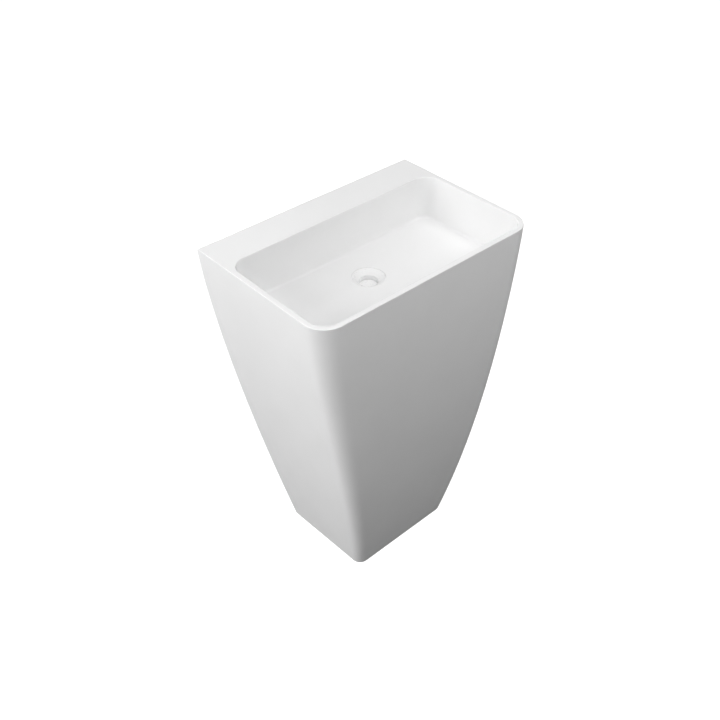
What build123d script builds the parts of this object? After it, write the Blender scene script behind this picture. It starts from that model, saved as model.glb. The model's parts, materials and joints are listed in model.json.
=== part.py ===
"""Free-standing pedestal washbasin with its waste, bottle trap, base board and levelling feet.

Origin: centre of the plan outline, on the floor. +Z is up, +Y points to the wall behind the sink
and +X is to the right of a person standing in front of it. All sizes are in millimetres.
"""
from build123d import *
import os

# Driving dimensions of the castings
WIDTH = 600
DEPTH = 400
HEIGHT = 850
FOOT_FRONT_WIDTH = 299
FOOT_REAR_WIDTH = 318
FOOT_FRONT_SETBACK = 63
FOOT_REAR_SETBACK = 94
SIDE_CURVE = 1.25
FRONT_CURVE = 2.8
REAR_CURVE = 1.65
TOP_CORNER_RADIUS = 52
FOOT_CORNER_RADIUS = 24
WALL = 13
EDGE_ROUND = 1.6
FOOT_EDGE_ROUND = 1.0

# Bowl and deck
RIM_SIDE = 13.3
RIM_FRONT = 12.5
DECK_DEPTH = 92
DECK_THICKNESS = 18
BOWL_DRAFT = 8
BOWL_CORNER_RADIUS = 38
BOWL_FLOOR_ROUND = 7
SEAT_EDGE_Z = 744
FLOOR_FALL = 0.0106
FLOOR_CUT_RADIUS = 420
BASIN_UNDERSIDE_Z = 724
APRON = 14
DECK_VOID_WIDTH = WIDTH - 60
DECK_VOID_CORNER = 10
WASTE_HOLE_RADIUS = 23.25
WASTE_SEAT_DEPTH = 3.3
WASTE_CONE_DEPTH = 12.4

# Fixings to the wall
WALL_HOLE_SPACING = 280
WALL_HOLE_Z = 780
WALL_HOLE_RADIUS = 6
BUSH_RADIUS = 8

# Service opening in the back
OPENING_BOTTOM_Z = 110
OPENING_TOP_Z = 690
OPENING_BOTTOM_WIDTH = 282
OPENING_TOP_WIDTH = 484
OPENING_CORNER = 20

# Base board, feet and brackets
FOOT_RING = 22
BOARD_Z = 40
BOARD_THICKNESS = 18
FOOT_X = 98
FOOT_FRONT_Y = -85
FOOT_REAR_Y = 56
PAD_RADIUS = 20
PAD_HEIGHT = 8
STUD_RADIUS = 4
STUD_TOP_Z = 86
RUNNING_GAP = 0.06
BRACKET_X = 70
BRACKET_Y = -12.5
BRACKET_WIDTH = 36
BRACKET_SHEET = 3
FLOOR_HOLE_RADIUS = 4.5
FLOOR_HOLE_X = 48

# Waste
FLANGE_RADIUS = 37.9
SEAT_RADIUS = FLANGE_RADIUS + 0.3
THROAT_RADIUS = 21.5
THROAT_TOP_Z = 734
SPIGOT_RADIUS = 22.9
SPIGOT_END_Z = 714.4
STEP_Z = 718
TAIL_RADIUS = 20.95
TAIL_BORE = 18
TAIL_END_Z = 655
CAP_RADIUS = 20.4
CAP_TOP_Z = 724

# Bottle trap
TUBE_RADIUS = 16
TUBE_BORE = 14.8
HEAD_RADIUS = 27
HEAD_BORE = 24.5
HEAD_TOP_Z = 600
SKIRT_END_Z = 524.4
COLLAR_RADIUS = 20.5
COLLAR_BORE = 16.4
COLLAR_TOP_Z = 612
OUTLET_Z = 572
CUP_TOP_Z = 546
CUP_FLOOR_Z = 470
CUP_RADIUS = 30
WALL_PLANE_Y = DEPTH / 2
ROSE_RADIUS = 35

FOOT_PLACES = {
    "fl": (-FOOT_X, FOOT_FRONT_Y),
    "fr": (FOOT_X, FOOT_FRONT_Y),
    "rl": (-FOOT_X, FOOT_REAR_Y),
    "rr": (FOOT_X, FOOT_REAR_Y),
}

os.makedirs("parts", exist_ok=True)


def save(builder, name):
    """Label a finished sub-part and write its STEP file."""
    builder.part.label = name
    export_step(builder.part, f"parts/{name}.step")


def body_section(z, inset):
    """Outline of the body at height z, drawn inside the outer surface by inset."""
    drop = 1 - z / HEIGHT
    side = drop**SIDE_CURVE
    front_half = (WIDTH - (WIDTH - FOOT_FRONT_WIDTH) * side) / 2 - inset
    rear_half = (WIDTH - (WIDTH - FOOT_REAR_WIDTH) * side) / 2 - inset
    front_y = -DEPTH / 2 + FOOT_FRONT_SETBACK * drop**FRONT_CURVE + inset
    rear_y = DEPTH / 2 - FOOT_REAR_SETBACK * drop**REAR_CURVE - inset
    outer_radius = FOOT_CORNER_RADIUS + (TOP_CORNER_RADIUS - FOOT_CORNER_RADIUS) * z / HEIGHT
    with BuildSketch(Plane.XY.offset(z)) as section:
        with BuildLine():
            Polyline(
                (-front_half, front_y),
                (front_half, front_y),
                (rear_half, rear_y),
                (-rear_half, rear_y),
                close=True,
            )
        make_face()
        fillet(section.vertices().group_by(Axis.Y)[0], max(outer_radius - inset, 3))
    return section.sketch


def body_form(inset, low, high, count):
    """Solid bounded by the body's surface moved in by inset, between two heights."""
    with BuildPart() as form:
        loft([body_section(low + (high - low) * i / count, inset) for i in range(count + 1)])
    return form.part


def bowl_section(z, draft, radius):
    """Rounded rectangle of the bowl's opening, drawn in by draft on every side."""
    half = WIDTH / 2 - RIM_SIDE - draft
    front = -DEPTH / 2 + RIM_FRONT + draft
    rear = DEPTH / 2 - DECK_DEPTH - draft
    with BuildSketch(Plane.XY.offset(z)) as section:
        with Locations((0, (front + rear) / 2)):
            RectangleRounded(2 * half, rear - front, radius)
    return section.sketch


def ring(z_low, z_high, inner, outer):
    """Half profile of a plain ring about the Z axis, in the XZ plane."""
    with Locations(((inner + outer) / 2, (z_low + z_high) / 2)):
        Rectangle(outer - inner, z_high - z_low)


# The castings share one outer surface, so that the bonded joint between them doesn't show
outer_form = body_form(0, 0, HEIGHT, 10)
cavity_form = body_form(WALL, BOARD_Z, BASIN_UNDERSIDE_Z, 8)


# Bowl: drafted walls, floor that falls to the waste, rounded all round the bottom
floor_edge_z = SEAT_EDGE_Z + (FLOOR_CUT_RADIUS - FLANGE_RADIUS) * FLOOR_FALL
with BuildPart() as bowl_form:
    loft(
        [
            bowl_section(SEAT_EDGE_Z - 6, BOWL_DRAFT, BOWL_CORNER_RADIUS - 6),
            bowl_section(HEIGHT, 0, BOWL_CORNER_RADIUS),
        ]
    )
    with BuildSketch(Plane.XZ):
        with BuildLine():
            Polyline(
                (0, SEAT_EDGE_Z),
                (FLANGE_RADIUS, SEAT_EDGE_Z),
                (FLOOR_CUT_RADIUS, floor_edge_z),
                (FLOOR_CUT_RADIUS, HEIGHT + 10),
                (0, HEIGHT + 10),
                close=True,
            )
        make_face()
    revolve(axis=Axis.Z, mode=Mode.INTERSECT)
    floor_face = bowl_form.faces().filter_by(lambda face: face.center().Z < SEAT_EDGE_Z + 6)
    rim_edges = [
        edge
        for edge in floor_face.edges()
        if abs(edge.center().X) > 2 * FLANGE_RADIUS or abs(edge.center().Y) > 2 * FLANGE_RADIUS
    ]
    fillet(rim_edges, BOWL_FLOOR_ROUND)

# Space behind the bowl and under the deck, open downwards into the column
deck_void_front = DEPTH / 2 - DECK_DEPTH + WALL + 1
deck_void_rear = DEPTH / 2 - APRON
with BuildPart() as basin:
    add(outer_form)
    split(bisect_by=Plane.XY.offset(BASIN_UNDERSIDE_Z), keep=Keep.TOP)
    fillet(basin.edges().group_by(Axis.Z)[-1], EDGE_ROUND)
    add(bowl_form.part, mode=Mode.SUBTRACT)
    bowl_rim = basin.edges().group_by(Axis.Z)[-1].filter_by(
        lambda edge: -DEPTH / 2 + 8 < edge.center().Y < DEPTH / 2 - 20
        and abs(edge.center().X) < WIDTH / 2 - 8
    )
    fillet(bowl_rim, EDGE_ROUND)
    with BuildSketch(Plane.XY.offset(BASIN_UNDERSIDE_Z)):
        with Locations((0, (deck_void_front + deck_void_rear) / 2)):
            RectangleRounded(DECK_VOID_WIDTH, deck_void_rear - deck_void_front, DECK_VOID_CORNER)
    extrude(amount=HEIGHT - DECK_THICKNESS - BASIN_UNDERSIDE_Z, mode=Mode.SUBTRACT)
    with BuildSketch(Plane.XZ.offset(-DEPTH / 2)):
        with Locations((-WALL_HOLE_SPACING / 2, WALL_HOLE_Z), (WALL_HOLE_SPACING / 2, WALL_HOLE_Z)):
            Circle(BUSH_RADIUS)
    extrude(amount=APRON + 2, mode=Mode.SUBTRACT)
    # Seat for the waste's flange, and the hole below it
    with BuildSketch(Plane.XZ):
        with BuildLine():
            Polyline(
                (0, SEAT_EDGE_Z + 2),
                (SEAT_RADIUS, SEAT_EDGE_Z + 2),
                (SEAT_RADIUS, SEAT_EDGE_Z - WASTE_SEAT_DEPTH),
                (WASTE_HOLE_RADIUS, SEAT_EDGE_Z - WASTE_CONE_DEPTH),
                (WASTE_HOLE_RADIUS, BASIN_UNDERSIDE_Z - 1),
                (0, BASIN_UNDERSIDE_Z - 1),
                close=True,
            )
        make_face()
    revolve(axis=Axis.Z, mode=Mode.SUBTRACT)
save(basin, "basin")

# Column: the same outer surface below the joint, hollow, with a service opening behind
with BuildPart() as pedestal_shell:
    add(outer_form)
    split(bisect_by=Plane.XY.offset(BASIN_UNDERSIDE_Z), keep=Keep.BOTTOM)
    fillet(pedestal_shell.edges().group_by(Axis.Z)[0], FOOT_EDGE_ROUND)
    add(cavity_form, mode=Mode.SUBTRACT)
    add(body_section(0, FOOT_RING))
    extrude(amount=BOARD_Z, mode=Mode.SUBTRACT)
    with BuildSketch(Plane.XZ.offset(-DEPTH / 2)) as opening:
        with BuildLine():
            Polyline(
                (-OPENING_BOTTOM_WIDTH / 2, OPENING_BOTTOM_Z),
                (OPENING_BOTTOM_WIDTH / 2, OPENING_BOTTOM_Z),
                (OPENING_TOP_WIDTH / 2, OPENING_TOP_Z),
                (-OPENING_TOP_WIDTH / 2, OPENING_TOP_Z),
                close=True,
            )
        make_face()
        fillet(opening.vertices(), OPENING_CORNER)
    extrude(amount=DEPTH / 2, mode=Mode.SUBTRACT)
save(pedestal_shell, "pedestal_shell")

# Battens bonded inside the top of the column, the basin's underside sits on them
BEARER_HEIGHT = 24
BEARER_DEPTH = 24
BEARER_FRONT_LENGTH = 460
BEARER_SIDE_LENGTH = 270
BEARER_SIDE_Y = -15
GLUE_LINE = 0.3
bearer_z = BASIN_UNDERSIDE_Z - BEARER_HEIGHT
bearer_drop = 1 - bearer_z / HEIGHT
bearer_side = (WIDTH - (WIDTH - FOOT_FRONT_WIDTH) * bearer_drop**SIDE_CURVE) / 2 - WALL - GLUE_LINE
bearer_front_y = -DEPTH / 2 + FOOT_FRONT_SETBACK * bearer_drop**FRONT_CURVE + WALL + GLUE_LINE
bearer_blocks = {
    "bearer_front": (0, bearer_front_y + BEARER_DEPTH / 2, BEARER_FRONT_LENGTH, BEARER_DEPTH),
    "bearer_left": (-bearer_side + BEARER_DEPTH / 2, BEARER_SIDE_Y, BEARER_DEPTH, BEARER_SIDE_LENGTH),
    "bearer_right": (bearer_side - BEARER_DEPTH / 2, BEARER_SIDE_Y, BEARER_DEPTH, BEARER_SIDE_LENGTH),
}
for name, (x, y, size_x, size_y) in bearer_blocks.items():
    with BuildPart() as bearer:
        with BuildSketch(Plane.XY.offset(bearer_z)):
            with Locations((x, y)):
                Rectangle(size_x, size_y)
        extrude(amount=BEARER_HEIGHT)
        chamfer(bearer.edges().group_by(Axis.Z)[0], 2)
    save(bearer, name)

# Flanged bushes that line the apron's wall fixing holes
BUSH_FLANGE = 12
BUSH_SHEET = 2
with BuildPart() as wall_hole_bushes:
    with BuildSketch(Plane.XZ.offset(-(DEPTH / 2 - APRON - BUSH_SHEET))):
        with Locations((-WALL_HOLE_SPACING / 2, WALL_HOLE_Z), (WALL_HOLE_SPACING / 2, WALL_HOLE_Z)):
            Circle(BUSH_FLANGE)
            Circle(WALL_HOLE_RADIUS, mode=Mode.SUBTRACT)
    extrude(amount=-BUSH_SHEET)
    with BuildSketch(Plane.XZ.offset(-(DEPTH / 2 - APRON))):
        with Locations((-WALL_HOLE_SPACING / 2, WALL_HOLE_Z), (WALL_HOLE_SPACING / 2, WALL_HOLE_Z)):
            Circle(BUSH_RADIUS - 0.1)
            Circle(WALL_HOLE_RADIUS, mode=Mode.SUBTRACT)
    extrude(amount=-(APRON - 1.9))
save(wall_hole_bushes, "wall_hole_bushes")

# Base board: sits on the ledge of the foot ring, carries the feet and the floor brackets
INSERT_RADIUS = 5.5
INSERT_LENGTH = BOARD_THICKNESS - 4
BOARD_CUT_LENGTH = 100
SCREW_RADIUS = 2
SCREW_LENGTH = 26
SCREW_Z = BOARD_Z + BOARD_THICKNESS / 2
SCREW_OFFSET = 10
with BuildPart() as base_board:
    add(body_section(BOARD_Z, WALL + 0.6))
    extrude(amount=BOARD_THICKNESS)
    with BuildSketch(Plane.XY.offset(BOARD_Z)):
        with Locations((0, BRACKET_Y)):
            RectangleRounded(2 * BRACKET_X, BOARD_CUT_LENGTH, 8)
        with Locations(*FOOT_PLACES.values()):
            Circle(INSERT_RADIUS)
    extrude(amount=BOARD_THICKNESS, mode=Mode.SUBTRACT)
    for side in (Plane.YZ.offset(BRACKET_X), Plane.YZ.offset(-BRACKET_X - SCREW_LENGTH)):
        with BuildSketch(side):
            with Locations((BRACKET_Y - SCREW_OFFSET, SCREW_Z), (BRACKET_Y + SCREW_OFFSET, SCREW_Z)):
                Circle(SCREW_RADIUS)
        extrude(amount=SCREW_LENGTH, mode=Mode.SUBTRACT)
save(base_board, "base_board")

# Threaded inserts pressed up into the board, with a flange under it
INSERT_FLANGE = 11
INSERT_SHEET = 1.6
with BuildPart() as foot_inserts:
    with BuildSketch(Plane.XY.offset(BOARD_Z - INSERT_SHEET)):
        with Locations(*FOOT_PLACES.values()):
            Circle(INSERT_FLANGE)
            Circle(STUD_RADIUS + RUNNING_GAP, mode=Mode.SUBTRACT)
    extrude(amount=INSERT_SHEET)
    with BuildSketch(Plane.XY.offset(BOARD_Z)):
        with Locations(*FOOT_PLACES.values()):
            Circle(INSERT_RADIUS)
            Circle(STUD_RADIUS + RUNNING_GAP, mode=Mode.SUBTRACT)
    extrude(amount=INSERT_LENGTH)
save(foot_inserts, "foot_inserts")

# Lock nuts under the inserts
HEX_RADIUS = 7.5
JAM_NUT_HEIGHT = 6.5
with BuildPart() as foot_jam_nuts:
    with BuildSketch(Plane.XY.offset(BOARD_Z - INSERT_SHEET - JAM_NUT_HEIGHT)):
        with Locations(*FOOT_PLACES.values()):
            RegularPolygon(HEX_RADIUS, 6)
            Circle(STUD_RADIUS + RUNNING_GAP, mode=Mode.SUBTRACT)
    extrude(amount=JAM_NUT_HEIGHT)
save(foot_jam_nuts, "foot_jam_nuts")

# Levelling feet: a screw that turns in a pad's socket
SOCKET_Z = 4
SHANK_RADIUS = 5
WRENCH_Z = 9
WRENCH_HEIGHT = 6
KEY_RADIUS = 2.3
KEY_DEPTH = 4
for corner, place in FOOT_PLACES.items():
    with BuildPart() as foot_pad:
        with BuildSketch():
            with Locations(place):
                Circle(PAD_RADIUS)
        extrude(amount=PAD_HEIGHT)
        fillet(foot_pad.edges().group_by(Axis.Z)[-1], 2)
        with BuildSketch(Plane.XY.offset(SOCKET_Z)):
            with Locations(place):
                Circle(SHANK_RADIUS + RUNNING_GAP)
        extrude(amount=PAD_HEIGHT - SOCKET_Z, mode=Mode.SUBTRACT)
    save(foot_pad, f"foot_pad_{corner}")

    with BuildPart() as foot_stud:
        with BuildSketch(Plane.XY.offset(SOCKET_Z + 0.3)):
            with Locations(place):
                Circle(SHANK_RADIUS)
        extrude(amount=WRENCH_Z - SOCKET_Z - 0.3)
        with BuildSketch(Plane.XY.offset(WRENCH_Z)):
            with Locations(place):
                RegularPolygon(HEX_RADIUS, 6)
        extrude(amount=WRENCH_HEIGHT)
        with BuildSketch(Plane.XY.offset(WRENCH_Z + WRENCH_HEIGHT)):
            with Locations(place):
                Circle(STUD_RADIUS)
        extrude(amount=STUD_TOP_Z - WRENCH_Z - WRENCH_HEIGHT)
        chamfer(foot_stud.edges().group_by(Axis.Z)[-1], 0.8)
        with BuildSketch(Plane.XY.offset(STUD_TOP_Z)):
            with Locations(place):
                RegularPolygon(KEY_RADIUS, 6)
        extrude(amount=-KEY_DEPTH, mode=Mode.SUBTRACT)
    save(foot_stud, f"foot_stud_{corner}")

# Steel angles that hold the foot to the floor
BRACKET_HEIGHT = 66
BRACKET_LEG = 38
BRACKET_BEND = 3
for name, hand in (("floor_bracket_left", -1), ("floor_bracket_right", 1)):
    outer = hand * BRACKET_X
    inner = hand * (BRACKET_X - BRACKET_SHEET)
    toe = hand * (BRACKET_X - BRACKET_LEG)
    with BuildPart() as bracket:
        with BuildSketch(Plane.XZ.offset(-BRACKET_Y)) as angle:
            with BuildLine():
                Polyline(
                    (outer, 0),
                    (outer, BRACKET_HEIGHT),
                    (inner, BRACKET_HEIGHT),
                    (inner, BRACKET_SHEET),
                    (toe, BRACKET_SHEET),
                    (toe, 0),
                    close=True,
                )
            make_face()
            fillet(angle.vertices().sort_by_distance((inner, BRACKET_SHEET))[0], BRACKET_BEND)
        extrude(amount=BRACKET_WIDTH / 2, both=True)
        with BuildSketch():
            with Locations((hand * FLOOR_HOLE_X, BRACKET_Y)):
                Circle(FLOOR_HOLE_RADIUS)
        extrude(amount=BRACKET_SHEET, mode=Mode.SUBTRACT)
        with BuildSketch(Plane.YZ.offset(inner)):
            with Locations((BRACKET_Y - SCREW_OFFSET, SCREW_Z), (BRACKET_Y + SCREW_OFFSET, SCREW_Z)):
                Circle(SCREW_RADIUS + 0.5)
        extrude(amount=hand * BRACKET_SHEET, mode=Mode.SUBTRACT)
    save(bracket, name)

# Pan-head screws through the angles into the board's inner edges
HEAD_HEIGHT = 2.4
SCREW_HEAD_RADIUS = 4.2
with BuildPart() as bracket_screws:
    for hand in (-1, 1):
        seat = hand * (BRACKET_X - BRACKET_SHEET)
        for y in (BRACKET_Y - SCREW_OFFSET, BRACKET_Y + SCREW_OFFSET):
            with BuildSketch(Plane.YZ.offset(seat)):
                with Locations((y, SCREW_Z)):
                    Circle(SCREW_HEAD_RADIUS)
            extrude(amount=-hand * HEAD_HEIGHT)
            with BuildSketch(Plane.YZ.offset(seat)):
                with Locations((y, SCREW_Z)):
                    Circle(SCREW_RADIUS)
            extrude(amount=hand * (SCREW_LENGTH + BRACKET_SHEET - 1))
save(bracket_screws, "bracket_screws")

# Waste: conical flange, throat, step for the plug, threaded tail with a three-armed bridge
FLANGE_THICKNESS = 2.6
HUB_RADIUS = 6.8
HUB_BORE = 4
BRIDGE_Z = 684
BRIDGE_HEIGHT = 8
ARM_WIDTH = 3
FLANGE_TOP_Z = SEAT_EDGE_Z - 0.1
cone_slope = (SEAT_EDGE_Z - THROAT_TOP_Z) / (FLANGE_RADIUS - THROAT_RADIUS)
flange_neck_z = FLANGE_TOP_Z - FLANGE_THICKNESS - (FLANGE_RADIUS - SPIGOT_RADIUS) * cone_slope
with BuildPart() as waste_body:
    with BuildSketch(Plane.XZ) as waste_profile:
        with BuildLine():
            Polyline(
                (FLANGE_RADIUS, FLANGE_TOP_Z),
                (FLANGE_RADIUS, FLANGE_TOP_Z - FLANGE_THICKNESS),
                (SPIGOT_RADIUS, flange_neck_z),
                (SPIGOT_RADIUS, SPIGOT_END_Z),
                (TAIL_RADIUS, SPIGOT_END_Z),
                (TAIL_RADIUS, TAIL_END_Z),
                (TAIL_BORE, TAIL_END_Z),
                (TAIL_BORE, STEP_Z),
                (THROAT_RADIUS, STEP_Z),
                (THROAT_RADIUS, THROAT_TOP_Z),
                close=True,
            )
        make_face()
        fillet(waste_profile.vertices().sort_by_distance((FLANGE_RADIUS, FLANGE_TOP_Z))[0], 0.8)
        fillet(waste_profile.vertices().sort_by_distance((THROAT_RADIUS, THROAT_TOP_Z))[0], 0.8)
    revolve(axis=Axis.Z)
    with BuildSketch(Plane.XY.offset(BRIDGE_Z)):
        with PolarLocations(0, 3):
            with Locations(((TAIL_BORE + 0.5) / 2, 0)):
                Rectangle(TAIL_BORE + 0.5, ARM_WIDTH)
        Circle(HUB_RADIUS)
        Circle(HUB_BORE, mode=Mode.SUBTRACT)
    extrude(amount=BRIDGE_HEIGHT)
save(waste_body, "waste_body")

# Seal between the flange's cone and the basin's seat
SEAL_THICKNESS = 0.75
with BuildPart() as flange_seal:
    with BuildSketch(Plane.XZ):
        seal_inner = SPIGOT_RADIUS + 1.4
        seal_outer = FLANGE_RADIUS - 0.8
        seal_low = flange_neck_z + (seal_inner - SPIGOT_RADIUS) * cone_slope
        seal_high = flange_neck_z + (seal_outer - SPIGOT_RADIUS) * cone_slope
        with BuildLine():
            Polyline(
                (seal_inner, seal_low),
                (seal_outer, seal_high),
                (seal_outer, seal_high - SEAL_THICKNESS),
                (seal_inner, seal_low - SEAL_THICKNESS),
                close=True,
            )
        make_face()
    revolve(axis=Axis.Z)
save(flange_seal, "flange_seal")

# Clamping stack under the basin: rubber gasket, washer and hexagonal backnut
GASKET_END_Z = 713.9
GASKET_RADIUS = 31
WASHER_END_Z = 712.4
WASHER_RADIUS = 30
BACKNUT_END_Z = 703
BACKNUT_RADIUS = 30
with BuildPart() as waste_gasket:
    with BuildSketch(Plane.XZ) as gasket_profile:
        ring(GASKET_END_Z, BASIN_UNDERSIDE_Z, SPIGOT_RADIUS + 0.1, GASKET_RADIUS)
        chamfer(gasket_profile.vertices().group_by(Axis.X)[-1].sort_by(Axis.Y)[-1], 2)
    revolve(axis=Axis.Z)
save(waste_gasket, "waste_gasket")

with BuildPart() as waste_washer:
    with BuildSketch(Plane.XZ):
        ring(WASHER_END_Z, GASKET_END_Z, TAIL_RADIUS + 0.15, WASHER_RADIUS)
    revolve(axis=Axis.Z)
save(waste_washer, "waste_washer")

with BuildPart() as waste_backnut:
    with BuildSketch(Plane.XY.offset(BACKNUT_END_Z)):
        RegularPolygon(BACKNUT_RADIUS, 6)
        Circle(TAIL_RADIUS + RUNNING_GAP, mode=Mode.SUBTRACT)
    extrude(amount=WASHER_END_Z - BACKNUT_END_Z)
    chamfer(waste_backnut.edges().group_by(Axis.Z)[0].filter_by(GeomType.LINE), 0.8)
save(waste_backnut, "waste_backnut")

# Push-open cartridge: it screws into the bridge's hub and guides the plug's stem
STEM_RADIUS = 2.5
STEM_END_Z = 694
STEM_COLLAR = 3.1
CARTRIDGE_RADIUS = 7
CARTRIDGE_TOP_Z = 712.5
CARTRIDGE_FLOOR_Z = 690.2
CARTRIDGE_END_Z = 680
THREAD_FIT = 0.05
SHOULDER_Z = 705.4
with BuildPart() as click_cartridge:
    with BuildSketch(Plane.XZ) as cartridge_profile:
        with BuildLine():
            Polyline(
                (0, CARTRIDGE_END_Z),
                (HUB_BORE - THREAD_FIT, CARTRIDGE_END_Z),
                (HUB_BORE - THREAD_FIT, BRIDGE_Z + BRIDGE_HEIGHT),
                (CARTRIDGE_RADIUS, BRIDGE_Z + BRIDGE_HEIGHT),
                (CARTRIDGE_RADIUS, CARTRIDGE_TOP_Z),
                (STEM_RADIUS + RUNNING_GAP, CARTRIDGE_TOP_Z),
                (STEM_RADIUS + RUNNING_GAP, SHOULDER_Z),
                (STEM_COLLAR + RUNNING_GAP, SHOULDER_Z),
                (STEM_COLLAR + RUNNING_GAP, CARTRIDGE_FLOOR_Z),
                (0, CARTRIDGE_FLOOR_Z),
                close=True,
            )
        make_face()
        chamfer(cartridge_profile.vertices().sort_by_distance((CARTRIDGE_RADIUS, CARTRIDGE_TOP_Z))[0], 1)
    revolve(axis=Axis.Z)
save(click_cartridge, "click_cartridge")

# Spring under the stem, closed up while the plug is down
WIRE_RADIUS = 0.3
SPRING_RADIUS = 2
SPRING_TURNS = 4
SPRING_END_GAP = 0.05
spring_low = CARTRIDGE_FLOOR_Z + WIRE_RADIUS + SPRING_END_GAP
spring_height = STEM_END_Z - WIRE_RADIUS - SPRING_END_GAP - spring_low
with BuildPart() as plug_spring:
    with BuildLine() as coil:
        Helix(
            pitch=spring_height / SPRING_TURNS,
            height=spring_height,
            radius=SPRING_RADIUS,
            center=(0, 0, spring_low),
        )
    with BuildSketch(Plane(origin=coil.line @ 0, z_dir=coil.line % 0)):
        Circle(WIRE_RADIUS)
    sweep(is_frenet=True)
save(plug_spring, "plug_spring")

# Plug: flat cap with a boss, its stem and the seal that sits on the throat's step
CAP_THICKNESS = 2.8
BOSS_RADIUS = 5.5
BOSS_END_Z = 713
STEM_TOP_Z = 720
STEM_COLLAR_HEIGHT = 2
PLUG_SEAL_BORE = 13
PLUG_SEAL_RADIUS = 20
PLUG_SEAL_GAP = 0.35
with BuildPart() as plug_cap:
    with BuildSketch(Plane.XZ) as cap_profile:
        with BuildLine():
            Polyline(
                (0, CAP_TOP_Z),
                (CAP_RADIUS, CAP_TOP_Z),
                (CAP_RADIUS, CAP_TOP_Z - CAP_THICKNESS),
                (BOSS_RADIUS, CAP_TOP_Z - CAP_THICKNESS),
                (BOSS_RADIUS, BOSS_END_Z),
                (STEM_RADIUS, BOSS_END_Z),
                (STEM_RADIUS, STEM_TOP_Z),
                (0, STEM_TOP_Z),
                close=True,
            )
        make_face()
        fillet(cap_profile.vertices().sort_by_distance((CAP_RADIUS, CAP_TOP_Z))[0], 0.8)
    revolve(axis=Axis.Z)
save(plug_cap, "plug_cap")

with BuildPart() as plug_stem:
    with BuildSketch(Plane.XY.offset(STEM_END_Z)):
        Circle(STEM_COLLAR)
    extrude(amount=STEM_COLLAR_HEIGHT)
    with BuildSketch(Plane.XY.offset(STEM_END_Z + STEM_COLLAR_HEIGHT)):
        Circle(STEM_RADIUS)
    extrude(amount=STEM_TOP_Z - STEM_END_Z - STEM_COLLAR_HEIGHT)
save(plug_stem, "plug_stem")

with BuildPart() as plug_seal:
    with BuildSketch(Plane.XZ) as seal_profile:
        ring(STEP_Z + PLUG_SEAL_GAP, CAP_TOP_Z - CAP_THICKNESS, PLUG_SEAL_BORE, PLUG_SEAL_RADIUS)
        fillet(seal_profile.vertices().group_by(Axis.X)[-1].sort_by(Axis.Y)[0], 1)
    revolve(axis=Axis.Z)
save(plug_seal, "plug_seal")

# Union between the waste's tail and the trap's inlet tube
LIP_BORE = TUBE_RADIUS + 0.2
TUBE_FLANGE_RADIUS = 20.6
TUBE_FLANGE_Z = 650.2
TAIL_WASHER_Z = 652.6
TAIL_NUT_RADIUS = 26
TAIL_NUT_LOW_Z = 646
TAIL_NUT_TOP_Z = 668
with BuildPart() as tail_nut:
    with BuildSketch(Plane.XZ) as nut_profile:
        with BuildLine():
            Polyline(
                (LIP_BORE, TAIL_NUT_LOW_Z),
                (TAIL_NUT_RADIUS, TAIL_NUT_LOW_Z),
                (TAIL_NUT_RADIUS, TAIL_NUT_TOP_Z),
                (TAIL_RADIUS + RUNNING_GAP, TAIL_NUT_TOP_Z),
                (TAIL_RADIUS + RUNNING_GAP, TUBE_FLANGE_Z),
                (LIP_BORE, TUBE_FLANGE_Z),
                close=True,
            )
        make_face()
        chamfer(nut_profile.vertices().group_by(Axis.X)[-1], 1)
    revolve(axis=Axis.Z)
save(tail_nut, "tail_nut")

with BuildPart() as tail_washer:
    with BuildSketch(Plane.XZ):
        ring(TAIL_WASHER_Z, TAIL_END_Z, TUBE_BORE, TUBE_FLANGE_RADIUS)
    revolve(axis=Axis.Z)
save(tail_washer, "tail_washer")

# Inlet tube: flanged at the top, it reaches down into the cup and makes the water seal
TUBE_END_Z = 503
with BuildPart() as inlet_tube:
    with BuildSketch(Plane.XZ):
        ring(TUBE_END_Z, TAIL_WASHER_Z, TUBE_BORE, TUBE_RADIUS)
        ring(TUBE_FLANGE_Z, TAIL_WASHER_Z, TUBE_BORE, TUBE_FLANGE_RADIUS)
    revolve(axis=Axis.Z)
save(inlet_tube, "inlet_tube")

# Trap head: closed above, skirt below for the cup, collar for the inlet and spigot for the outlet
HEAD_ROOF = 3.5
INLET_REACH = 10
SPIGOT_Y = 52
with BuildPart() as trap_head:
    with BuildSketch(Plane.XZ):
        ring(SKIRT_END_Z, HEAD_TOP_Z, 0, HEAD_RADIUS)
        ring(HEAD_TOP_Z, COLLAR_TOP_Z, 0, COLLAR_RADIUS)
    revolve(axis=Axis.Z)
    with BuildSketch(Plane.XZ):
        with Locations((0, OUTLET_Z)):
            Circle(COLLAR_RADIUS)
    extrude(amount=-SPIGOT_Y)
    with BuildSketch(Plane.XZ):
        ring(SKIRT_END_Z, HEAD_TOP_Z - HEAD_ROOF, 0, HEAD_BORE)
        ring(HEAD_TOP_Z - INLET_REACH, COLLAR_TOP_Z, 0, COLLAR_BORE)
    revolve(axis=Axis.Z, mode=Mode.SUBTRACT)
    with BuildSketch(Plane.XZ):
        with Locations((0, OUTLET_Z)):
            Circle(COLLAR_BORE)
    extrude(amount=-SPIGOT_Y, mode=Mode.SUBTRACT)
save(trap_head, "trap_head")

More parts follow.
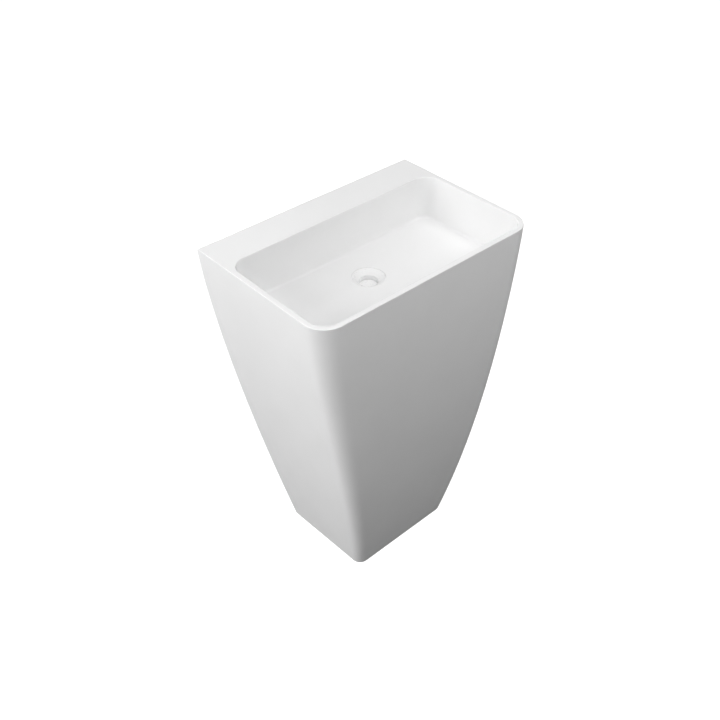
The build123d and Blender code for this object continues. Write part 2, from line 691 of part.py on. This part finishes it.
# Compression nuts and their rubber washers, one on the inlet and one on the outlet
NUT_RADIUS = 25.5
NUT_LENGTH = 18
NUT_LIP = 4
WASHER_LENGTH = 6
inlet_plane = Plane.XY.offset(COLLAR_TOP_Z)
outlet_plane = Plane(origin=(0, SPIGOT_Y, OUTLET_Z), x_dir=(1, 0, 0), z_dir=(0, 1, 0))
for name, mouth in (("inlet", inlet_plane), ("outlet", outlet_plane)):
    with BuildPart() as nut:
        with BuildSketch(mouth.offset(WASHER_LENGTH + NUT_LIP - NUT_LENGTH)):
            Circle(NUT_RADIUS)
        extrude(amount=NUT_LENGTH)
        chamfer(nut.edges(), 1)
        with BuildSketch(mouth.offset(WASHER_LENGTH + NUT_LIP - NUT_LENGTH)):
            Circle(COLLAR_RADIUS + RUNNING_GAP)
        extrude(amount=NUT_LENGTH - NUT_LIP, mode=Mode.SUBTRACT)
        with BuildSketch(mouth.offset(WASHER_LENGTH)):
            Circle(LIP_BORE)
        extrude(amount=NUT_LIP, mode=Mode.SUBTRACT)
    save(nut, f"{name}_nut")

    with BuildPart() as washer:
        with BuildSketch(mouth):
            Circle(COLLAR_RADIUS - 0.1)
            Circle(TUBE_RADIUS, mode=Mode.SUBTRACT)
        extrude(amount=WASHER_LENGTH)
    save(washer, f"{name}_washer")

# Cup: a grip ring that runs on the head's skirt, and the bottle below it
CUP_SHOULDER_Z = 522
CUP_BODY_RADIUS = 25.5
CUP_BORE = 22.8
CUP_FLOOR_THICKNESS = 3
with BuildPart() as trap_cup:
    with BuildSketch(Plane.XZ) as cup_profile:
        with BuildLine():
            Polyline(
                (0, CUP_FLOOR_Z),
                (CUP_BODY_RADIUS, CUP_FLOOR_Z),
                (CUP_BODY_RADIUS, CUP_SHOULDER_Z - 4),
                (CUP_RADIUS, CUP_SHOULDER_Z - 2),
                (CUP_RADIUS, CUP_TOP_Z),
                (HEAD_RADIUS + RUNNING_GAP, CUP_TOP_Z),
                (HEAD_RADIUS + RUNNING_GAP, CUP_SHOULDER_Z),
                (CUP_BORE, CUP_SHOULDER_Z),
                (CUP_BORE, CUP_FLOOR_Z + CUP_FLOOR_THICKNESS),
                (0, CUP_FLOOR_Z + CUP_FLOOR_THICKNESS),
                close=True,
            )
        make_face()
        fillet(cup_profile.vertices().sort_by_distance((CUP_BODY_RADIUS, CUP_FLOOR_Z))[0], 5)
        chamfer(cup_profile.vertices().sort_by_distance((CUP_RADIUS, CUP_TOP_Z))[0], 0.8)
    revolve(axis=Axis.Z)
save(trap_cup, "trap_cup")

SEAL_GAP = 0.35
with BuildPart() as cup_seal:
    with BuildSketch(Plane.XZ):
        ring(CUP_SHOULDER_Z + SEAL_GAP, SKIRT_END_Z - SEAL_GAP, CUP_BORE + 0.4, HEAD_RADIUS - 0.3)
    revolve(axis=Axis.Z)
save(cup_seal, "cup_seal")

# Outlet pipe to the wall, and the rose that slides on it
PIPE_START_Y = 36
ROSE_BACK_Y = WALL_PLANE_Y - 0.6
pipe_start = Plane(origin=(0, PIPE_START_Y, OUTLET_Z), x_dir=(1, 0, 0), z_dir=(0, 1, 0))
with BuildPart() as outlet_pipe:
    with BuildSketch(pipe_start):
        Circle(TUBE_RADIUS)
        Circle(TUBE_BORE, mode=Mode.SUBTRACT)
    extrude(amount=ROSE_BACK_Y - PIPE_START_Y)
save(outlet_pipe, "outlet_pipe")

ROSE_PLATE = 2.5
ROSE_COLLAR_RADIUS = 20
ROSE_COLLAR_LENGTH = 9
rose_back = pipe_start.offset(ROSE_BACK_Y - PIPE_START_Y)
with BuildPart() as wall_rose:
    with BuildSketch(rose_back):
        Circle(ROSE_RADIUS)
    extrude(amount=-ROSE_PLATE)
    chamfer(wall_rose.edges().group_by(Axis.Y)[0], 1)
    with BuildSketch(rose_back.offset(-ROSE_PLATE)):
        Circle(ROSE_COLLAR_RADIUS)
    extrude(amount=-ROSE_COLLAR_LENGTH)
    with BuildSketch(rose_back):
        Circle(TUBE_RADIUS + RUNNING_GAP)
    extrude(amount=-ROSE_PLATE - ROSE_COLLAR_LENGTH, mode=Mode.SUBTRACT)
save(wall_rose, "wall_rose")
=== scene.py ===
"""Studio picture of the pedestal sink: materials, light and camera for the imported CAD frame."""
import json
import math

import bpy
from mathutils import Matrix, Vector


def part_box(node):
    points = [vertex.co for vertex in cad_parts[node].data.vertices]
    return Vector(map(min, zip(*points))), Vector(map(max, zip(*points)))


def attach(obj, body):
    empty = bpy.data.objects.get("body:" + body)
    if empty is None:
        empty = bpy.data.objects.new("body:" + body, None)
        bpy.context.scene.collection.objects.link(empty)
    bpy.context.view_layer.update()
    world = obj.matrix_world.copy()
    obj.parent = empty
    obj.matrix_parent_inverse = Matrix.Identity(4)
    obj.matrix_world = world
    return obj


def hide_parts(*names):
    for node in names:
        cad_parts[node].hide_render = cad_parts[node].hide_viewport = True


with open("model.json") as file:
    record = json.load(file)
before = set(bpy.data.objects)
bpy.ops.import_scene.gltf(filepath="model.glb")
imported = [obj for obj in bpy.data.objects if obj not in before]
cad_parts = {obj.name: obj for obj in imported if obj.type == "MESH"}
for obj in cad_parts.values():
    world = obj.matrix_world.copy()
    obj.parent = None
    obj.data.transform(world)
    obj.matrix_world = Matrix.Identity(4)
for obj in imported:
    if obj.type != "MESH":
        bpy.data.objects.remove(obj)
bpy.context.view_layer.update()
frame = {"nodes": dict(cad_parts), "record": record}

NODES = frame["nodes"]

# Camera: place in metres and direction in degrees, in the frame of the CAD
CAMERA_PLACE = Vector((-1.1154, -1.2117, 1.8669))
CAMERA_AZIMUTH = -41.98
CAMERA_ELEVATION = 39.51
CAMERA_LENS = 45.37
SENSOR_WIDTH = 36.0

# The bowl and the rim are polished: corners of two boxes around them, in metres
BOWL_LOW = (-0.2875, -0.1885, 0.742)
BOWL_HIGH = (0.2875, 0.1085, 0.8488)
BOWL_CORNER = 0.038
RIM_LOW = (-0.31, -0.21, 0.8482)
RIM_HIGH = (0.31, 0.21, 0.86)

# Tones of the white lacquer on the waste's flange and on its plug. The plug's lighter tone is painted
# light: it brightens the plug where it sits in the shade of the hole, so that it reads as bright white.
WASTE_TONE = 0.85
PLUG_TONE_PAINTED_LIGHT = 0.96

# Brightness of the white surround from below and from above: for soft light, and where gloss mirrors it
SURROUND_SOFT = (0.315, 0.0)
SURROUND_MIRRORED = (0.0, 1.1)
SURROUND_SEEN = 1.0
FLOOR_GLOW = 0.95

# Soft square lights: name, place, target, size in metres, watts
LIGHTS = (
    ("left", (-3.0, 0.0, 1.6), (0.0, 0.0, 0.5), 2.0, 55.5),
    ("left_rear", (-2.4, 2.0, 2.2), (0.0, 0.0, 0.6), 1.8, 31.0),
    ("front_near", (0.3, -1.3, 2.3), (0.0, 0.0, 0.8), 1.2, 16.3),
    ("front_right", (2.2, -2.2, 2.2), (0.0, 0.0, 0.6), 1.8, 14.0),
    ("overhead", (0.0, 0.2, 3.2), (0.0, 0.0, 0.8), 2.4, 23.0),
    ("overhead_rear", (0.3, 1.6, 2.8), (0.0, 0.0, 0.8), 2.0, 4.5),
    ("rear_low", (0.9, 2.6, 0.45), (0.0, 0.0, 0.45), 0.8, 26.0),
    ("right_low", (3.0, 0.6, 0.45), (0.0, 0.0, 0.45), 0.8, 16.0),
    ("left_low", (-3.0, 1.0, 0.4), (0.0, 0.0, 0.3), 1.0, 9.5),
)
# Lights that don't show as reflections in polished surfaces
UNMIRRORED = ("left", "left_rear", "left_low", "front_right")

# Floor: side and level in metres, tone
FLOOR_SIDE = 40.0
FLOOR_LEVEL = -0.0005
FLOOR_TONES = (0.55, 0.57)

# Half width of the soft change at the horizon, where straight up is 1
HORIZON_SOFT = 0.1

# Finger ribs on the nuts and the cup, in metres
NUT_RIBS = 24
CUP_RIBS = 36
RIB_PROUD = 0.0011
GRIP_SUNK = 0.0003
NUT_RIB_MARGIN = 0.0022
CUP_RIB_MARGIN = 0.0016
CUP_GRIP_LOW = 0.520

# Pipe thread on the waste's tail, in metres
TAIL_RADIUS = 0.02095
TAIL_ROOT = TAIL_RADIUS - 0.0001
TAIL_CREST = TAIL_RADIUS + 0.0009
TAIL_SKIN = TAIL_RADIUS - 0.0005
TAIL_END = 0.0002
TAIL_SEGMENTS = 72
PIPE_PITCH = 0.002309
THREAD_CLEARANCE = 0.0006

# Levelling screw, in metres: radii, heights and depths
STUD_PITCH = 0.00125
STUD_ROOT = 0.0034
STUD_CREST = 0.004
STUD_SEGMENTS = 24
STUD_FOOT_RADIUS = 0.005
STUD_FOOT_BEVEL = 0.0006
SPANNER_START = 0.0047
SPANNER_HEIGHT = 0.006
SPANNER_RADIUS = 0.0075
SPANNER_END_RADIUS = 0.0064
SPANNER_BEVEL = 0.0007
THREAD_START = 0.0006
THREAD_END = 0.0008
STUD_TIP_RADIUS = 0.0032
KEY_RADIUS = 0.0023
KEY_DEPTH = 0.004

# Meshes: rings in a thread's turn, and the angle in degrees from which an edge is sharp
RINGS_PER_TURN = 6
SHARP_ANGLE = 35


class Surface:
    """One material's node tree, with short calls for the nodes that the materials share."""

    def __init__(self, name, roughness, metallic=0.0, **constants):
        self.material = bpy.data.materials.new(name)
        self.material.use_nodes = True
        self.tree = self.material.node_tree
        self.shader = self.tree.nodes["Principled BSDF"]
        self.shader.inputs["Metallic"].default_value = metallic
        self.shader.inputs["Roughness"].default_value = roughness
        for socket, value in constants.items():
            self.shader.inputs[socket.replace("_", " ")].default_value = value
        self.place = self.add("ShaderNodeTexCoord").outputs["Object"]

    def add(self, kind, **settings):
        node = self.tree.nodes.new(kind)
        for key, value in settings.items():
            setattr(node, key, value)
        return node

    def link(self, source, target):
        self.tree.links.new(source, target)

    def stretched(self, scale):
        """Object coordinates, scaled apart along X, Y and Z."""
        mapping = self.add("ShaderNodeMapping")
        mapping.inputs["Scale"].default_value = scale
        self.link(self.place, mapping.inputs["Vector"])
        return mapping.outputs["Vector"]

    def noise(self, scale, detail=4.0, roughness=0.5, place=None):
        node = self.add("ShaderNodeTexNoise")
        node.inputs["Scale"].default_value = scale
        node.inputs["Detail"].default_value = detail
        node.inputs["Roughness"].default_value = roughness
        self.link(place or self.place, node.inputs["Vector"])
        return node.outputs["Fac"]

    def cell_colours(self, scale):
        node = self.add("ShaderNodeTexVoronoi")
        node.inputs["Scale"].default_value = scale
        self.link(self.place, node.inputs["Vector"])
        return node.outputs["Color"]

    def spread(self, value, low, high, low_in=0.35, high_in=0.65):
        """Maps a value from its own range to low and high."""
        node = self.add("ShaderNodeMapRange")
        node.inputs["From Min"].default_value = low_in
        node.inputs["From Max"].default_value = high_in
        node.inputs["To Min"].default_value = low
        node.inputs["To Max"].default_value = high
        self.link(value, node.inputs["Value"])
        return node.outputs["Result"]

    def ramp(self, value, *stops):
        """Colour ramp with (position, (red, green, blue)) stops."""
        node = self.add("ShaderNodeValToRGB")
        elements = node.color_ramp.elements
        while len(elements) < len(stops):
            elements.new(0.5)
        for element, (position, colour) in zip(elements, stops):
            element.position = position
            element.color = (*colour, 1.0)
        self.link(value, node.inputs["Fac"])
        return node.outputs["Color"]

    def inside(self, low, high, corner=0.0, soft=0.0006):
        """1 inside the box between two corners in metres and 0 outside, with its upright edges rounded."""
        centre = [(a + b) / 2 for a, b in zip(low, high)]
        half = [(b - a) / 2 for a, b in zip(low, high)]
        half[0] -= corner
        half[1] -= corner
        away = self.vector("ABSOLUTE", self.vector("SUBTRACT", self.place, centre))
        beyond = self.vector("SUBTRACT", away, half)
        parts = self.add("ShaderNodeSeparateXYZ")
        self.link(beyond, parts.inputs[0])
        plan = self.vector("MULTIPLY", self.vector("MAXIMUM", beyond, (0.0, 0.0, 0.0)), (1.0, 1.0, 0.0))
        reach = self.add("ShaderNodeVectorMath", operation="LENGTH")
        self.link(plan, reach.inputs[0])
        rounded = self.add("ShaderNodeMath", operation="SUBTRACT")
        rounded.inputs[1].default_value = corner
        self.link(reach.outputs["Value"], rounded.inputs[0])
        furthest = self.maths("MAXIMUM", rounded.outputs[0], parts.outputs["Z"])
        return self.spread(furthest, 1.0, 0.0, 0.0, soft)

    def vector(self, operation, first, second=None):
        node = self.add("ShaderNodeVectorMath", operation=operation)
        self.link(first, node.inputs[0])
        if second is not None:
            node.inputs[1].default_value = second
        return node.outputs[0]

    def maths(self, operation, first, second):
        node = self.add("ShaderNodeMath", operation=operation)
        self.link(first, node.inputs[0])
        self.link(second, node.inputs[1])
        return node.outputs[0]

    def mix(self, factor, low, high):
        """Blends two values from low, where factor is 0, to high, where it is 1."""
        node = self.add("ShaderNodeMix")
        self.link(factor, node.inputs["Factor"])
        self.link(low, node.inputs["A"])
        self.link(high, node.inputs["B"])
        return node.outputs["Result"]

    def colour(self, output):
        self.link(output, self.shader.inputs["Base Color"])

    def roughness(self, output):
        self.link(output, self.shader.inputs["Roughness"])

    def bump(self, height, distance, strength=1.0, below=None):
        """Adds a bump layer of the given depth in metres, over an earlier layer if there is one."""
        node = self.add("ShaderNodeBump")
        node.inputs["Distance"].default_value = distance
        node.inputs["Strength"].default_value = strength
        self.link(height, node.inputs["Height"])
        if below is not None:
            self.link(below, node.inputs["Normal"])
        self.link(node.outputs["Normal"], self.shader.inputs["Normal"])
        return node.outputs["Normal"]


def grey(value, warmth=0.0):
    """A near-neutral colour, a little warmer or cooler than grey."""
    return (value * (1 + warmth), value, value * (1 - warmth))


def casting_material():
    """White mineral casting: honed outside, polished in the bowl and along the rim, with fine grain."""
    surface = Surface("mineral_casting", 0.42, Specular_IOR_Level=0.5, IOR=1.5)
    clouds = surface.noise(7.0, detail=3.0)
    surface.colour(surface.ramp(clouds, (0.3, grey(0.885)), (0.7, grey(0.905))))
    wear = surface.noise(26.0, detail=5.0)
    in_bowl = surface.inside(BOWL_LOW, BOWL_HIGH, BOWL_CORNER)
    on_rim = surface.inside(RIM_LOW, RIM_HIGH)
    polished = surface.maths("MAXIMUM", in_bowl, on_rim)
    honed_gloss = surface.spread(wear, 0.40, 0.48)
    polished_gloss = surface.spread(wear, 0.10, 0.16)
    surface.roughness(surface.mix(polished, honed_gloss, polished_gloss))
    waves = surface.bump(surface.noise(18.0, detail=2.0), 0.0002, 0.2)
    surface.bump(surface.noise(1400.0, detail=2.0), 0.00003, 0.5, below=waves)
    return surface.material


def waste_material(name, tone):
    """Satin white lacquer over brass, with the lacquer's faint orange peel."""
    surface = Surface(name, 0.3, Coat_Weight=0.1, Coat_Roughness=0.2)
    clouds = surface.noise(60.0, detail=2.0)
    surface.colour(surface.ramp(clouds, (0.3, grey(tone - 0.01)), (0.7, grey(tone + 0.01))))
    surface.roughness(surface.spread(surface.noise(220.0), 0.26, 0.34))
    surface.bump(surface.noise(650.0, detail=1.0), 0.00004, 0.5)
    return surface.material


def plastic_material(name, tone, roughness, grain, depth):
    """Moulded plastic: even colour with faint flow clouding and a fine spark-eroded grain."""
    surface = Surface(name, roughness)
    flow = surface.noise(25.0, detail=3.0)
    surface.colour(surface.ramp(flow, (0.3, grey(tone * 0.97)), (0.7, grey(tone * 1.02))))
    surface.roughness(surface.spread(surface.noise(180.0), roughness - 0.06, roughness + 0.08))
    surface.bump(surface.noise(grain, detail=2.0), depth, 0.6)
    return surface.material


def rubber_material():
    """Black rubber with a dusty bloom and a soft matt skin."""
    surface = Surface("seal_rubber", 0.8)
    bloom = surface.noise(90.0, detail=6.0, roughness=0.65)
    surface.colour(surface.ramp(bloom, (0.35, grey(0.018)), (0.75, grey(0.06, 0.02))))
    surface.roughness(surface.spread(bloom, 0.68, 0.9))
    surface.bump(surface.noise(900.0, detail=3.0), 0.00005, 0.7)
    return surface.material


def zinc_material():
    """Zinc-plated steel: small crystal spangles that differ in tone and gloss."""
    surface = Surface("zinc_steel", 0.38, metallic=1.0)
    spangle = surface.cell_colours(420.0)
    surface.colour(surface.ramp(spangle, (0.1, (0.5, 0.52, 0.54)), (0.9, (0.68, 0.7, 0.72))))
    surface.roughness(surface.spread(spangle, 0.3, 0.5, 0.1, 0.9))
    scratches = surface.noise(300.0, detail=5.0, place=surface.stretched((6.0, 6.0, 0.6)))
    surface.bump(scratches, 0.00003, 0.5)
    return surface.material


def turned_metal(name, dark, light, roughness):
    """Metal turned on a lathe, with fine rings about the Z axis and tarnish in patches."""
    surface = Surface(name, roughness, metallic=1.0)
    tarnish = surface.noise(70.0, detail=5.0, roughness=0.6)
    surface.colour(surface.ramp(tarnish, (0.3, dark), (0.7, light)))
    surface.roughness(surface.spread(tarnish, roughness - 0.06, roughness + 0.12))
    rings = surface.noise(60.0, detail=2.0, place=surface.stretched((1.0, 1.0, 60.0)))
    surface.bump(rings, 0.00003, 0.6)
    return surface.material


def plywood_material():
    """Birch plywood: thin plies seen on the edges, long grain on the faces."""
    surface = Surface("birch_plywood", 0.6)
    grain = surface.noise(9.0, detail=8.0, roughness=0.6, place=surface.stretched((1.0, 14.0, 1.0)))
    face = surface.ramp(grain, (0.3, (0.56, 0.39, 0.23)), (0.7, (0.72, 0.55, 0.36)))
    plies = surface.add("ShaderNodeTexWave", wave_type="BANDS", bands_direction="Z")
    plies.inputs["Scale"].default_value = 110.0
    plies.inputs["Distortion"].default_value = 0.4
    surface.link(surface.place, plies.inputs["Vector"])
    edge = surface.ramp(plies.outputs["Fac"], (0.4, (0.42, 0.27, 0.15)), (0.6, (0.7, 0.52, 0.33)))
    normal = surface.add("ShaderNodeSeparateXYZ")
    surface.link(surface.add("ShaderNodeNewGeometry").outputs["Normal"], normal.inputs[0])
    upright = surface.add("ShaderNodeMath", operation="ABSOLUTE")
    surface.link(normal.outputs["Z"], upright.inputs[0])
    mix = surface.add("ShaderNodeMix", data_type="RGBA")
    surface.link(upright.outputs[0], mix.inputs["Factor"])
    surface.link(edge, mix.inputs["A"])
    surface.link(face, mix.inputs["B"])
    surface.colour(mix.outputs["Result"])
    surface.roughness(surface.spread(grain, 0.5, 0.7))
    surface.bump(grain, 0.0001, 0.6)
    return surface.material


def dress_nodes():
    """Gives every CAD node the material of its slot in the record, and the plug a lighter lacquer as
    painted light against the shade in the hole.
    """
    materials = {
        "casting": casting_material(),
        "white_waste": waste_material("white_lacquer", WASTE_TONE),
        "white_plastic": plastic_material("white_polypropylene", 0.84, 0.34, 700.0, 0.00003),
        "black_plastic": plastic_material("black_nylon", 0.035, 0.5, 900.0, 0.00005),
        "seal_rubber": rubber_material(),
        "zinc_steel": zinc_material(),
        "brass": turned_metal("turned_brass", (0.5, 0.35, 0.15), (0.72, 0.54, 0.27), 0.28),
        "spring_steel": turned_metal("stainless_steel", (0.5, 0.5, 0.51), (0.66, 0.66, 0.67), 0.25),
        "board": plywood_material(),
    }
    slots = {part["node"]: part["material_slot"] for part in frame["record"]["subparts"]}
    for name, node in NODES.items():
        for slot in node.material_slots:
            slot.material = materials[slots[name]]
    # Painted light: the plug gets a lighter copy of the flange's lacquer to offset the shade in the hole.
    NODES["plug_cap"].material_slots[0].material = waste_material("plug_lacquer_painted_light", PLUG_TONE_PAINTED_LIGHT)
    return materials


def circle(radius, height, count):
    """Ring of points about the Z axis; the radius may be a function of the point's number."""
    reach = radius if callable(radius) else lambda index: radius
    angles = [2 * math.pi * index / count for index in range(count)]
    return [(reach(i) * math.cos(a), reach(i) * math.sin(a), height) for i, a in enumerate(angles)]


def hexagon(radius, height, count):
    """Ring of points along a regular hexagon, for heads that take a spanner or a key."""
    sixth = count // 6
    flat = radius * math.cos(math.pi / 6)
    offset = [math.radians((index % sixth) * 60 / sixth - 30) for index in range(count)]
    return circle(lambda index: flat / math.cos(offset[index]), height, count)


def thread_rings(root, crest, pitch, low, high, count):
    """Rings of a screw thread, with six rings to each turn."""
    steps = round((high - low) / pitch * RINGS_PER_TURN)
    rings = []
    for step in range(steps + 1):
        turn = step / RINGS_PER_TURN

        def reach(index, turn=turn):
            phase = (turn - index / count) % 1.0
            return root + (crest - root) * (1 - abs(2 * phase - 1))

        rings.append(circle(reach, low + (high - low) * step / steps, count))
    return rings


def skin(name, rings, material, capped):
    """Closed mesh through a row of rings: capped at both ends, or joined from the last to the first."""
    count = len(rings[0])
    faces = []
    for row in range(len(rings) - (1 if capped else 0)):
        below = row * count
        above = (row + 1) % len(rings) * count
        for index in range(count):
            after = (index + 1) % count
            faces.append((below + index, below + after, above + after, above + index))
    if capped:
        faces.append(tuple(reversed(range(count))))
        faces.append(tuple(range((len(rings) - 1) * count, len(rings) * count)))
    mesh = bpy.data.meshes.new(name)
    mesh.from_pydata([point for points in rings for point in points], [], faces)
    mesh.polygons.foreach_set("use_smooth", [True] * len(mesh.polygons))
    mesh.set_sharp_from_angle(angle=math.radians(SHARP_ANGLE))
    mesh.materials.append(material)
    piece = bpy.data.objects.new(name, mesh)
    bpy.context.scene.collection.objects.link(piece)
    return piece


def ribbed_grip(node, ribs, proud, margin, material, axis="Z", low=None):
    """Band of finger ribs around a round nut, standing proud of it and sunk a little into it."""
    box_low, box_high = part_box(node)
    along = "XYZ".index(axis)
    radius = (box_high[0] - box_low[0]) / 2
    start = (box_low[along] if low is None else low) + margin
    end = box_high[along] - margin
    crest = [radius + proud, radius + proud, radius - GRIP_SUNK, radius - GRIP_SUNK]
    count = 4 * ribs
    slope = proud
    rings = [
        circle(radius - GRIP_SUNK, start, count),
        circle(lambda index: crest[index % 4], start + slope, count),
        circle(lambda index: crest[index % 4], end - slope, count),
        circle(radius - GRIP_SUNK, end, count),
        circle(radius - 2 * GRIP_SUNK, end, count),
        circle(radius - 2 * GRIP_SUNK, start, count),
    ]
    piece = skin(f"{node}_grip", rings, material, capped=False)
    if axis == "Y":
        middle_z = (box_low[2] + box_high[2]) / 2
        turn = Matrix.Translation((0.0, 0.0, middle_z)) @ Matrix.Rotation(math.radians(-90), 4, "X")
        piece.data.transform(turn)
    return piece


def add_grips(material):
    """Ribs on the plastic nuts and on the cup, which are done up by hand."""
    for node, axis in (("tail_nut", "Z"), ("inlet_nut", "Z"), ("outlet_nut", "Y")):
        piece = ribbed_grip(node, NUT_RIBS, RIB_PROUD, NUT_RIB_MARGIN, material, axis)
        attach(piece, "sink")
    piece = ribbed_grip("trap_cup", CUP_RIBS, RIB_PROUD, CUP_RIB_MARGIN, material, low=CUP_GRIP_LOW)
    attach(piece, "cup")


def add_tail_thread(material):
    """Pipe thread on the waste's tail, between the backnut and the union nut."""
    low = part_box("tail_nut")[1][2] + THREAD_CLEARANCE
    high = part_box("waste_backnut")[0][2] - THREAD_CLEARANCE
    rings = thread_rings(TAIL_ROOT, TAIL_CREST, PIPE_PITCH, low, high, TAIL_SEGMENTS)
    rings.insert(0, circle(TAIL_SKIN, low - TAIL_END, TAIL_SEGMENTS))
    rings.append(circle(TAIL_SKIN, high + TAIL_END, TAIL_SEGMENTS))
    piece = skin("tail_thread", rings, material, capped=False)
    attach(piece, "sink")


def add_foot_screws(material):
    """Levelling screws with their real thread, spanner hexagon and key socket."""
    for corner in ("fl", "fr", "rl", "rr"):
        node = f"foot_stud_{corner}"
        low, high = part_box(node)
        n = STUD_SEGMENTS
        hex_low = low[2] + SPANNER_START
        hex_high = hex_low + SPANNER_HEIGHT
        rings = [
            circle(STUD_FOOT_RADIUS - STUD_FOOT_BEVEL, low[2], n),
            circle(STUD_FOOT_RADIUS, low[2] + STUD_FOOT_BEVEL, n),
            circle(STUD_FOOT_RADIUS, hex_low, n),
            circle(SPANNER_END_RADIUS, hex_low, n),
            hexagon(SPANNER_RADIUS, hex_low + SPANNER_BEVEL, n),
            hexagon(SPANNER_RADIUS, hex_high - SPANNER_BEVEL, n),
            circle(SPANNER_END_RADIUS, hex_high, n),
            circle(STUD_ROOT, hex_high, n),
        ]
        thread_low = hex_high + THREAD_START
        thread_high = high[2] - THREAD_END
        rings += thread_rings(STUD_ROOT, STUD_CREST, STUD_PITCH, thread_low, thread_high, n)
        rings += [
            circle(STUD_TIP_RADIUS, high[2], n),
            hexagon(KEY_RADIUS, high[2], n),
            hexagon(KEY_RADIUS, high[2] - KEY_DEPTH, n),
        ]
        piece = skin(f"foot_screw_{corner}", rings, material, capped=True)
        piece.data.transform(Matrix.Translation(((low[0] + high[0]) / 2, (low[1] + high[1]) / 2, 0.0)))
        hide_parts(node)
        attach(piece, f"screw_{corner}")


def add_floor():
    """Plain pale floor, wide enough to fill the picture."""
    bpy.ops.mesh.primitive_plane_add(size=FLOOR_SIDE, location=(0.0, 0.0, FLOOR_LEVEL))
    floor = bpy.context.object
    floor.name = "studio_floor"
    surface = Surface("studio_floor", 0.9)
    dark, light = map(grey, FLOOR_TONES)
    surface.colour(surface.ramp(surface.noise(0.7), (0.3, dark), (0.7, light)))
    surface.shader.inputs["Emission Color"].default_value = (1.0, 1.0, 1.0, 1.0)
    surface.shader.inputs["Emission Strength"].default_value = FLOOR_GLOW
    floor.data.materials.append(surface.material)
    floor.visible_diffuse = False
    floor.visible_glossy = False


def add_light(name, place, target, size, power):
    """Soft area light at a place, turned to a target."""
    data = bpy.data.lights.new(name, "AREA")
    data.shape = "SQUARE"
    data.size = size
    data.energy = power
    lamp = bpy.data.objects.new(name, data)
    lamp.location = place
    lamp.rotation_mode = "QUATERNION"
    lamp.rotation_quaternion = (Vector(target) - Vector(place)).to_track_quat("-Z", "Y")
    lamp.visible_glossy = name not in UNMIRRORED
    bpy.context.scene.collection.objects.link(lamp)


def by_height(tree, height, levels):
    """Level that changes from below to above the horizon."""
    node = tree.nodes.new("ShaderNodeMapRange")
    node.inputs["From Min"].default_value = -HORIZON_SOFT
    node.inputs["From Max"].default_value = HORIZON_SOFT
    node.inputs["To Min"].default_value = levels[0]
    node.inputs["To Max"].default_value = levels[1]
    tree.links.new(height, node.inputs["Value"])
    return node.outputs["Result"]


def surround_strength(tree):
    """Sets how bright the surround is for soft light, for what gloss mirrors and for the picture."""
    place = tree.nodes.new("ShaderNodeTexCoord")
    parts = tree.nodes.new("ShaderNodeSeparateXYZ")
    tree.links.new(place.outputs["Generated"], parts.inputs[0])
    path = tree.nodes.new("ShaderNodeLightPath")
    lit = tree.nodes.new("ShaderNodeMix")
    tree.links.new(path.outputs["Is Glossy Ray"], lit.inputs["Factor"])
    tree.links.new(by_height(tree, parts.outputs["Z"], SURROUND_SOFT), lit.inputs["A"])
    tree.links.new(by_height(tree, parts.outputs["Z"], SURROUND_MIRRORED), lit.inputs["B"])
    seen = tree.nodes.new("ShaderNodeMix")
    seen.inputs["B"].default_value = SURROUND_SEEN
    tree.links.new(path.outputs["Is Camera Ray"], seen.inputs["Factor"])
    tree.links.new(lit.outputs["Result"], seen.inputs["A"])
    tree.links.new(seen.outputs["Result"], tree.nodes["Background"].inputs["Strength"])


def light_studio():
    """White surroundings and soft window-like lights, strongest on the left and overhead."""
    world = bpy.data.worlds.new("studio")
    world.use_nodes = True
    world.node_tree.nodes["Background"].inputs["Color"].default_value = (1.0, 1.0, 1.0, 1.0)
    surround_strength(world.node_tree)
    bpy.context.scene.world = world
    for name, place, target, size, power in LIGHTS:
        add_light(name, place, target, size, power)


def place_camera():
    """Camera at the viewing angle of the picture."""
    data = bpy.data.cameras.new("camera")
    data.lens = CAMERA_LENS
    data.sensor_width = SENSOR_WIDTH
    camera = bpy.data.objects.new("camera", data)
    azimuth = math.radians(CAMERA_AZIMUTH)
    elevation = math.radians(CAMERA_ELEVATION)
    back = Vector(
        (
            math.sin(azimuth) * math.cos(elevation),
            -math.cos(azimuth) * math.cos(elevation),
            math.sin(elevation),
        )
    )
    camera.location = CAMERA_PLACE
    camera.rotation_mode = "QUATERNION"
    camera.rotation_quaternion = (-back).to_track_quat("-Z", "Y")
    bpy.context.scene.collection.objects.link(camera)
    bpy.context.scene.camera = camera


materials = dress_nodes()
add_grips(materials["white_plastic"])
add_tail_thread(materials["white_waste"])
add_foot_screws(materials["zinc_steel"])
add_floor()
light_studio()
place_camera()
bpy.context.scene.view_settings.view_transform = "Standard"
